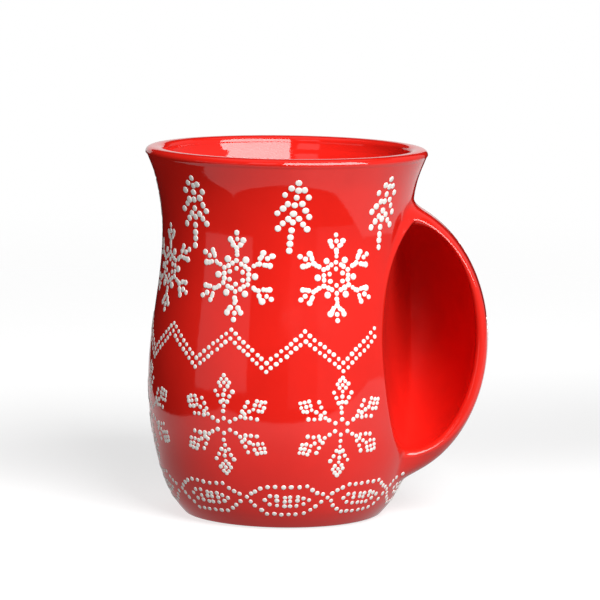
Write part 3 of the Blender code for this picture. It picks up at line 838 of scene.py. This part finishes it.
def red_glaze(name, finishes):
    """Gloss red glaze: slow depth changes, thinner and lighter on edges, faint ripple, a few pits, a darker
    rim crest and painted shade in the finger space.
    """
    sheet = Sheet(name)
    depth = sheet.noise(38.0, 4.0, 0.55)
    fine = sheet.noise(420.0, 2.0)
    pits = sheet.node("ShaderNodeTexVoronoi", {"feature": "F1"},
                      {"Vector": sheet.place, "Scale": 95.0, "Randomness": 1.0}, "Distance")
    chosen = sheet.ramp(sheet.noise(61.0, 1.0), 0.63, 0.66)
    pit = sheet.ramp(0.06 - pits, 0.0, 0.03) * chosen
    base = sheet.mix(sheet.ramp(depth, 0.30, 0.72), rgba(finishes.red, 0.93), rgba(finishes.red, 1.03))
    edges = sheet.attribute("thin") * sheet.ramp(depth + fine * 0.25, 0.25, 0.85)
    base = sheet.mix(edges * 0.5, base, rgba(finishes.thin_red))
    base = sheet.mix(pit * 0.6, base, rgba(finishes.red, 0.35))
    # Darker along the rim's crest, and painted shade in the upper left of the finger space.
    base = sheet.mix(sheet.attribute("crest_and_painted_shade"), base, rgba(finishes.red, 0.82))
    height = depth * 0.6 + fine * 0.05 - pit * 1.5
    rough = sheet.ramp(fine, 0.2, 0.8) * 0.03 + (finishes.gloss - 0.015) + pit * 0.3
    bump = sheet.bump(height, 0.35, 0.0004)
    gloss = sheet.surface(Base_Color=base, Roughness=rough, IOR=1.5, Normal=bump)
    matt = sheet.node("ShaderNodeBsdfPrincipled", {}, {"Base Color": base, "Roughness": 0.6,
                                                        "Specular IOR Level": 0.04, "Normal": bump}, "BSDF")
    both = sheet.node("ShaderNodeMixShader", {}, {0: sheet.attribute("deep"),
                                                  1: Wire(sheet, sheet.shader.outputs["BSDF"]), 2: matt})
    sheet.feed(sheet.tree.nodes["Material Output"].inputs["Surface"], both)
    return gloss


def white_slip(finishes):
    """Satin slip: a little grain, small shade changes from dot to dot, and shade painted darker at each
    tip.
    """
    sheet = Sheet("white_slip")
    grain = sheet.noise(900.0, 3.0)
    shade = sheet.attribute("shade")
    tip = sheet.attribute("tip")
    base = sheet.mix(shade * 0.6 + grain * 0.3, rgba(finishes.slip, 0.95), rgba(finishes.slip, 1.03))
    # Painted shade: each dot's tip is darker.
    base = sheet.mix(tip.power(3.0) * 0.35, base, rgba(finishes.slip, 0.7))
    rough = grain * 0.15 + (finishes.slip_gloss - 0.07)
    return sheet.surface(Base_Color=base, Roughness=rough, IOR=1.45,
                         Normal=sheet.bump(grain, 0.25, 0.0002))


def bare_clay(finishes):
    """Ground stoneware: buff, with iron specks and fine grit."""
    sheet = Sheet("bare_clay")
    tone = sheet.noise(160.0, 5.0, 0.6)
    grit = sheet.noise(1500.0, 3.0)
    specks = sheet.ramp(sheet.noise(700.0, 1.0), 0.66, 0.70)
    base = sheet.mix(tone, rgba(finishes.clay, 0.85), rgba(finishes.clay, 1.15))
    base = sheet.mix(specks * 0.7, base, rgba(finishes.clay, 0.3))
    return sheet.surface(Base_Color=base, Roughness=grit * 0.15 + 0.75,
                         Normal=sheet.bump(grit, 0.5, 0.0003))


def glowing(name, glow):
    """A black card that gives plain white light."""
    sheet = Sheet(name)
    return sheet.surface(Base_Color=BLACK, Roughness=0.9, Specular_IOR_Level=0.0,
                         Emission_Color=WHITE, Emission_Strength=glow)


def floor_finish(value):
    """Pale matt floor with the mug's soft shadow painted as a grey band behind it; far off it fades into
    the background.
    """
    sheet = Sheet("floor_white")
    far, x, y = sheet.from_middle(), sheet.along("X"), sheet.along("Y")
    back = y - x * 0.3
    # Painted shadow of the mug: a soft grey band behind it.
    painted_shadow_band = sheet.ramp(back, -0.02, 0.13) * (1.0 - sheet.ramp(back, 0.13, 0.36))
    glow = sheet.mix(1.0 - painted_shadow_band * (x * 0.5 + 0.2), BLACK, WHITE)
    return sheet.surface(Base_Color=rgba(value), Roughness=0.9, Specular_IOR_Level=0.0,
                         Emission_Color=glow, Emission_Strength=0.74,
                         Alpha=1.0 - sheet.ramp(far, 0.35, 1.0))


def gloss_floor():
    """What the glaze reflects of the floor: the mug's shadow painted dimmer close to it, and a little
    brighter to its right.
    """
    sheet = Sheet("gloss_floor")
    far, x = sheet.from_middle(), sheet.along("X")
    # Painted shadow of the mug close to it, and painted light a little brighter to its right.
    level = sheet.ramp(far, 0.07, 0.15) * 0.31 + sheet.ramp(x, -0.03, 0.06) * 0.18 + 0.44
    glow = sheet.mix(level, BLACK, WHITE)
    return sheet.surface(Base_Color=BLACK, Specular_IOR_Level=0.0, Emission_Color=glow,
                         Emission_Strength=1.0)


def get_material(name, maker):
    found = bpy.data.materials.get(name)
    return found if found else maker()


# ---- operators ---------------------------------------------------------------

def glaze_of(scene, name):
    return get_material(name, lambda: red_glaze(name, scene.mug_finishes))


class MUG_OT_glazed_body(bpy.types.Operator):
    """Build the glazed cast: cup, pocket, rim and finger space"""
    bl_idname = "mug.glazed_body"
    bl_label = "Glazed body"

    def execute(self, context):
        body = build_glazed_body(Form(context.scene.mug_sizes))
        finish(body, ("vessel", "hand_pocket"), glaze_of(context.scene, "red_glaze"))
        return {"FINISHED"}


class MUG_OT_liner(bpy.types.Operator):
    """Build the coat of glaze inside the cup"""
    bl_idname = "mug.liner"
    bl_label = "Glaze liner"

    def execute(self, context):
        liner = build_liner(Form(context.scene.mug_sizes))
        finish(liner, ("liner_glaze",), glaze_of(context.scene, "red_lining"))
        return {"FINISHED"}


class MUG_OT_foot(bpy.types.Operator):
    """Build the bare foot ring"""
    bl_idname = "mug.foot"
    bl_label = "Bare foot"

    def execute(self, context):
        foot = build_foot(Form(context.scene.mug_sizes))
        finish(foot, ("foot_ring",), bare_clay(context.scene.mug_finishes))
        return {"FINISHED"}


def add_dots(context, name, dots, seed):
    scene = context.scene
    obj = build_dots(name, Form(scene.mug_sizes), scene.mug_slip, dots, seed)
    finish(obj, (), get_material("white_slip", lambda: white_slip(scene.mug_finishes)))


class MUG_OT_trees(bpy.types.Operator):
    """Build the ring of little trees under the rim"""
    bl_idname = "mug.trees"
    bl_label = "Slip trees"

    def execute(self, context):
        form, slip = Form(context.scene.mug_sizes), context.scene.mug_slip
        girth = Girth(form, 106.0)
        centres = stations(girth, [-45.0, 3.6, 49.0], girth.at(49.0) + 56.0, TREE_PITCH)
        lean = np.random.default_rng(slip.seed).normal(0.0, 0.03, len(centres)) - TREE_LEAN
        lean[:3] = -TREE_LEAN + np.array([0.03, TREE_LEAN, 0.06])
        dots = place(girth, centres, TREE_HEIGHT, TREE, slip.tree_dot / MM, lean)
        add_dots(context, "slip_trees", dots, 1)
        return {"FINISHED"}


class MUG_OT_upper_snowflakes(bpy.types.Operator):
    """Build the ring of large-dotted snowflakes round the waist"""
    bl_idname = "mug.upper_snowflakes"
    bl_label = "Slip snowflakes, upper"

    def execute(self, context):
        form, slip = Form(context.scene.mug_sizes), context.scene.mug_slip
        girth = Girth(form, UPPER_HEIGHT)
        centres = stations(girth, [-66.6, -22.4, 23.7], girth.at(90.0) + UPPER_PITCH / 2.0, UPPER_PITCH)
        dots = place(girth, centres, UPPER_HEIGHT, star(UPPER_ARM, UPPER_BETWEEN), slip.flake_dot / MM)
        add_dots(context, "slip_snowflakes_upper", dots, 2)
        return {"FINISHED"}


class MUG_OT_zigzag(bpy.types.Operator):
    """Build the double zigzag round the middle"""
    bl_idname = "mug.zigzag"
    bl_label = "Slip zigzag"

    def execute(self, context):
        form, slip = Form(context.scene.mug_sizes), context.scene.mug_slip
        girth = Girth(form, 63.0)
        first = girth.at(-55.9)
        third = girth.at(9.1)
        known = [first, girth.at(-23.2), third, third + ZIGZAG_PITCH, third + 2.0 * ZIGZAG_PITCH]
        left_over = first + girth.total - known[-1]
        count = int(round(left_over / ZIGZAG_PITCH))
        peaks = np.concatenate([known, known[-1] + left_over * np.arange(1, count + 1) / count])
        step = np.arange((len(peaks) - 1) * ZIGZAG_DOTS) / ZIGZAG_DOTS
        run = np.interp(step, np.arange(len(peaks)), peaks)
        wave = np.abs(1.0 - 2.0 * (step % 1.0))
        radius = np.full(len(run), slip.zigzag_dot / MM / 2.0)
        rows = [np.stack([girth.angles(run), ZIGZAG_FOOT + ZIGZAG_RISE * wave - drop, radius], -1)
                for drop in (0.0, ZIGZAG_ROW_GAP)]
        add_dots(context, "slip_zigzag", np.concatenate(rows), 3)
        return {"FINISHED"}


class MUG_OT_lower_snowflakes(bpy.types.Operator):
    """Build the ring of fine-dotted snowflakes on the belly"""
    bl_idname = "mug.lower_snowflakes"
    bl_label = "Slip snowflakes, lower"

    def execute(self, context):
        form, slip = Form(context.scene.mug_sizes), context.scene.mug_slip
        girth = Girth(form, LOWER_HEIGHT)
        centres = stations(girth, [-76.0, -25.2, 25.2], girth.at(90.0) + 14.5, LOWER_PITCH)
        dots = place(girth, centres, LOWER_HEIGHT, star(LOWER_ARM), slip.lower_dot / MM)
        add_dots(context, "slip_snowflakes_lower", dots, 4)
        return {"FINISHED"}


class MUG_OT_chain(bpy.types.Operator):
    """Build the chain of loops above the foot"""
    bl_idname = "mug.chain"
    bl_label = "Slip chain"

    def execute(self, context):
        form, slip = Form(context.scene.mug_sizes), context.scene.mug_slip
        girth = Girth(form, 11.9)
        centres = stations(girth, [-36.9, 2.5, 41.5], girth.at(41.5) + CHAIN_PITCH, CHAIN_PITCH)
        dots = place(girth, centres, CHAIN_HEIGHT, CHAIN_LOOP, slip.chain_dot / MM)
        add_dots(context, "slip_chain", off_bulge(form, dots), 5)
        return {"FINISHED"}


# ---- stage -------------------------------------------------------------------

# Upright cards that the glaze reflects: radius, bottom and top in metres, then the
# azimuths of both ends in degrees (right positive), and how brightly each glows.
ROUND_CARDS = (
    ("left_strip", 0.9, -0.06, 0.22, -78.0, -30.0, "strip_light", 0.6),
    ("right_near", 0.9, -0.15, 0.35, 4.0, 28.0, "near_light", 0.14),
    ("right_panel", 0.9, -0.15, 0.9, 28.0, 150.0, "panel_light", 0.3),
    ("backdrop_in_gloss", 0.9, 0.08, 0.36, 168.0, 216.0, "backdrop_light", 0.8),
    ("key_in_gloss", 0.85, 0.21, 1.15, -3.0, 68.0, "softbox_light", 11.0))
ROUND_CARD_STEPS = 24
UP, DOWN = (0, 0, 1), (0, 0, -1)
SECOND_LIGHT = (-22.0, 30.0)
KEY_LIGHT = (25.0, 38.0)
TOP_LIGHT = (0.0, 89.0)
LIGHT_TARGET = (0.0, 0.0, 0.06)
GLOSS_AMBIENT = 0.006
CAMERA_LENS, CAMERA_SENSOR = 226.58, 36.0
CAMERA_PLACE = ((AXIS_X + 5.15) * MM, -1.274, 0.2405)
CAMERA_TILT = math.radians(82.5)
CAMERA_ROLL = 0.0145


def stage_piece(name, points, faces, material):
    mesh = bpy.data.meshes.new(name)
    mesh.from_pydata(points, [], faces)
    mesh.materials.append(material)
    obj = bpy.data.objects.new(name, mesh)
    bpy.context.scene.collection.objects.link(obj)
    return obj


def card(name, centre, width, depth, normal, material):
    """A flat rectangle facing normal, in metres, made as one quad in place."""
    n = np.array(normal, float)
    n /= np.linalg.norm(n)
    side = np.cross([0.0, 0.0, 1.0], n)
    side = np.array([1.0, 0.0, 0.0]) if np.linalg.norm(side) < 1e-6 else side / np.linalg.norm(side)
    up = np.cross(n, side)
    corners = [np.array(centre) + a * side * width / 2 + b * up * depth / 2
               for a, b in ((-1, -1), (1, -1), (1, 1), (-1, 1))]
    return stage_piece(name, [tuple(c) for c in corners], [(0, 1, 2, 3)], material)


def only_seen_in_gloss(obj, diffuse=False):
    obj.visible_camera = False
    obj.visible_shadow = False
    obj.visible_transmission = False
    obj.visible_diffuse = diffuse


def round_card(name, radius, low, high, start, stop, material):
    """A piece of upright cylinder about the mug, between two azimuths in degrees from the front."""
    turn = np.radians(np.linspace(start, stop, ROUND_CARD_STEPS + 1) - 90.0)
    x, y = radius * np.cos(turn) + AXIS_X * MM, radius * np.sin(turn)
    points = np.stack([np.tile(x, 2), np.tile(y, 2), np.repeat([low, high], len(turn))], -1)
    index = np.arange(2 * len(turn)).reshape(2, -1)
    obj = stage_piece(name, points.tolist(), grid_faces(index).tolist(), material)
    only_seen_in_gloss(obj)
    return obj


def aim(azimuth, elevation, distance):
    """A place at an azimuth (right positive), elevation and distance from the mug."""
    a, e = math.radians(azimuth - 90.0), math.radians(elevation)
    return distance * np.array([math.cos(a) * math.cos(e), math.sin(a) * math.cos(e), math.sin(e)])


def area_light(name, azimuth, elevation, distance, size, power):
    """A square soft light aimed at the mug from an azimuth (right positive) and elevation."""
    a, e = math.radians(azimuth - 90.0), math.radians(elevation)
    data = bpy.data.lights.new(name, "AREA")
    data.shape, data.size, data.energy = "SQUARE", size, power
    lamp = bpy.data.objects.new(name, data)
    lamp.location = np.array(LIGHT_TARGET) + aim(azimuth, elevation, distance)
    lamp.rotation_euler = (math.pi / 2 - e, 0.0, a + math.pi / 2)
    bpy.context.scene.collection.objects.link(lamp)
    lamp.visible_glossy = False
    return lamp


def add_floor(colour_of_floor):
    """The floor that shows, the one that the glaze reflects, and the one that lights from below."""
    floor = card("floor", (0.0, 0.0, -0.0002), 4.0, 4.0, UP, floor_finish(colour_of_floor))
    floor.visible_diffuse = False
    floor.visible_glossy = False
    bounce = card("floor_in_gloss", (0.206, 0.2, -0.0001), 0.788, 0.73, UP, gloss_floor())
    only_seen_in_gloss(bounce)
    fill = card("floor_fill", (0.0, 0.1, -0.0003), 1.4, 1.2, UP, glowing("fill_light", 0.36))
    only_seen_in_gloss(fill, diffuse=True)
    fill.visible_glossy = False


def add_cards():
    """Glowing cards that only reflections see."""
    for name, radius, low, high, start, stop, material, glow in ROUND_CARDS:
        round_card(name, radius, low, high, start, stop, glowing(material, glow))
    second = card("fill_in_gloss", aim(*SECOND_LIGHT, 1.6), 0.55, 0.8, aim(*SECOND_LIGHT, -1.0),
                  glowing("second_light", 1.0))
    only_seen_in_gloss(second)
    over = card("overhead", (0.0, 0.1, 1.3), 1.5, 1.3, DOWN, glowing("overhead_light", 0.4))
    only_seen_in_gloss(over)


def times_and_plus(tree, source, factor, addend):
    """A node that gives source times factor plus addend; the addend may be a socket."""
    node = tree.nodes.new("ShaderNodeMath")
    node.operation = "MULTIPLY_ADD"
    tree.links.new(source, node.inputs[0])
    node.inputs[1].default_value = factor
    if isinstance(addend, float):
        node.inputs[2].default_value = addend
    else:
        tree.links.new(addend, node.inputs[2])
    return node.outputs[0]


def add_world(scene, ambient):
    """White behind everything, dim all round for matt surfaces, nearly black in reflections."""
    world = bpy.data.worlds.new("studio")
    world.use_nodes = True
    scene.world = world
    tree = world.node_tree
    path = tree.nodes.new("ShaderNodeLightPath")
    back = tree.nodes["Background"]
    back.inputs["Color"].default_value = WHITE
    shown = times_and_plus(tree, path.outputs["Is Camera Ray"], 1.0 - ambient, ambient)
    strength = times_and_plus(tree, path.outputs["Is Glossy Ray"], -(ambient - GLOSS_AMBIENT), shown)
    tree.links.new(strength, back.inputs["Strength"])


def add_camera(scene):
    data = bpy.data.cameras.new("camera")
    data.lens, data.sensor_width = CAMERA_LENS, CAMERA_SENSOR
    data.clip_start, data.clip_end = 0.05, 30.0
    camera = bpy.data.objects.new("camera", data)
    camera.matrix_world = (Matrix.Translation(CAMERA_PLACE) @ Matrix.Rotation(CAMERA_TILT, 4, "X")
                           @ Matrix.Rotation(CAMERA_ROLL, 4, "Z"))
    scene.collection.objects.link(camera)
    scene.camera = camera


class MUG_OT_stage(bpy.types.Operator):
    """Build the floor, the studio light and the camera"""
    bl_idname = "mug.stage"
    bl_label = "Stage"

    def execute(self, context):
        scene, lights = context.scene, context.scene.mug_stage
        add_floor(lights.floor)
        add_cards()
        area_light("key_light", *KEY_LIGHT, 1.6, 0.75, lights.key)
        area_light("top_light", *TOP_LIGHT, 1.5, 1.2, lights.top)
        add_world(scene, lights.ambient)
        add_camera(scene)
        scene.view_settings.view_transform = "Standard"
        return {"FINISHED"}


# ---- panel, and the steps in order -------------------------------------------

PIECES = (MUG_OT_glazed_body, MUG_OT_liner, MUG_OT_foot, MUG_OT_trees, MUG_OT_upper_snowflakes,
          MUG_OT_zigzag, MUG_OT_lower_snowflakes, MUG_OT_chain, MUG_OT_stage)


class MUG_PT_panel(bpy.types.Panel):
    """Lists the steps that build the mug"""
    bl_idname = "MUG_PT_panel"
    bl_label = "Hand-warmer mug"
    bl_space_type = "VIEW_3D"
    bl_region_type = "UI"
    bl_category = "Mug"

    def draw(self, context):
        for group in ("mug_sizes", "mug_slip", "mug_finishes", "mug_stage"):
            settings = getattr(context.scene, group)
            for key in settings.__annotations__:
                self.layout.prop(settings, key)
        for piece in PIECES:
            self.layout.operator(piece.bl_idname)


GROUPS = {"mug_sizes": MugSizes, "mug_slip": SlipSizes, "mug_finishes": MugFinishes,
          "mug_stage": StageLights}


def register():
    for cls in (*GROUPS.values(), *PIECES, MUG_PT_panel):
        bpy.utils.register_class(cls)
    for name, cls in GROUPS.items():
        setattr(bpy.types.Scene, name, bpy.props.PointerProperty(type=cls))


def unregister():
    for name in GROUPS:
        delattr(bpy.types.Scene, name)
    for cls in reversed((*GROUPS.values(), *PIECES, MUG_PT_panel)):
        bpy.utils.unregister_class(cls)


def main():
    register()
    for piece in PIECES:
        group, step = piece.bl_idname.split(".")
        if getattr(getattr(bpy.ops, group), step)() != {"FINISHED"}:
            raise RuntimeError(piece.bl_idname + " did not finish")


if __name__ == "__main__":
    main()
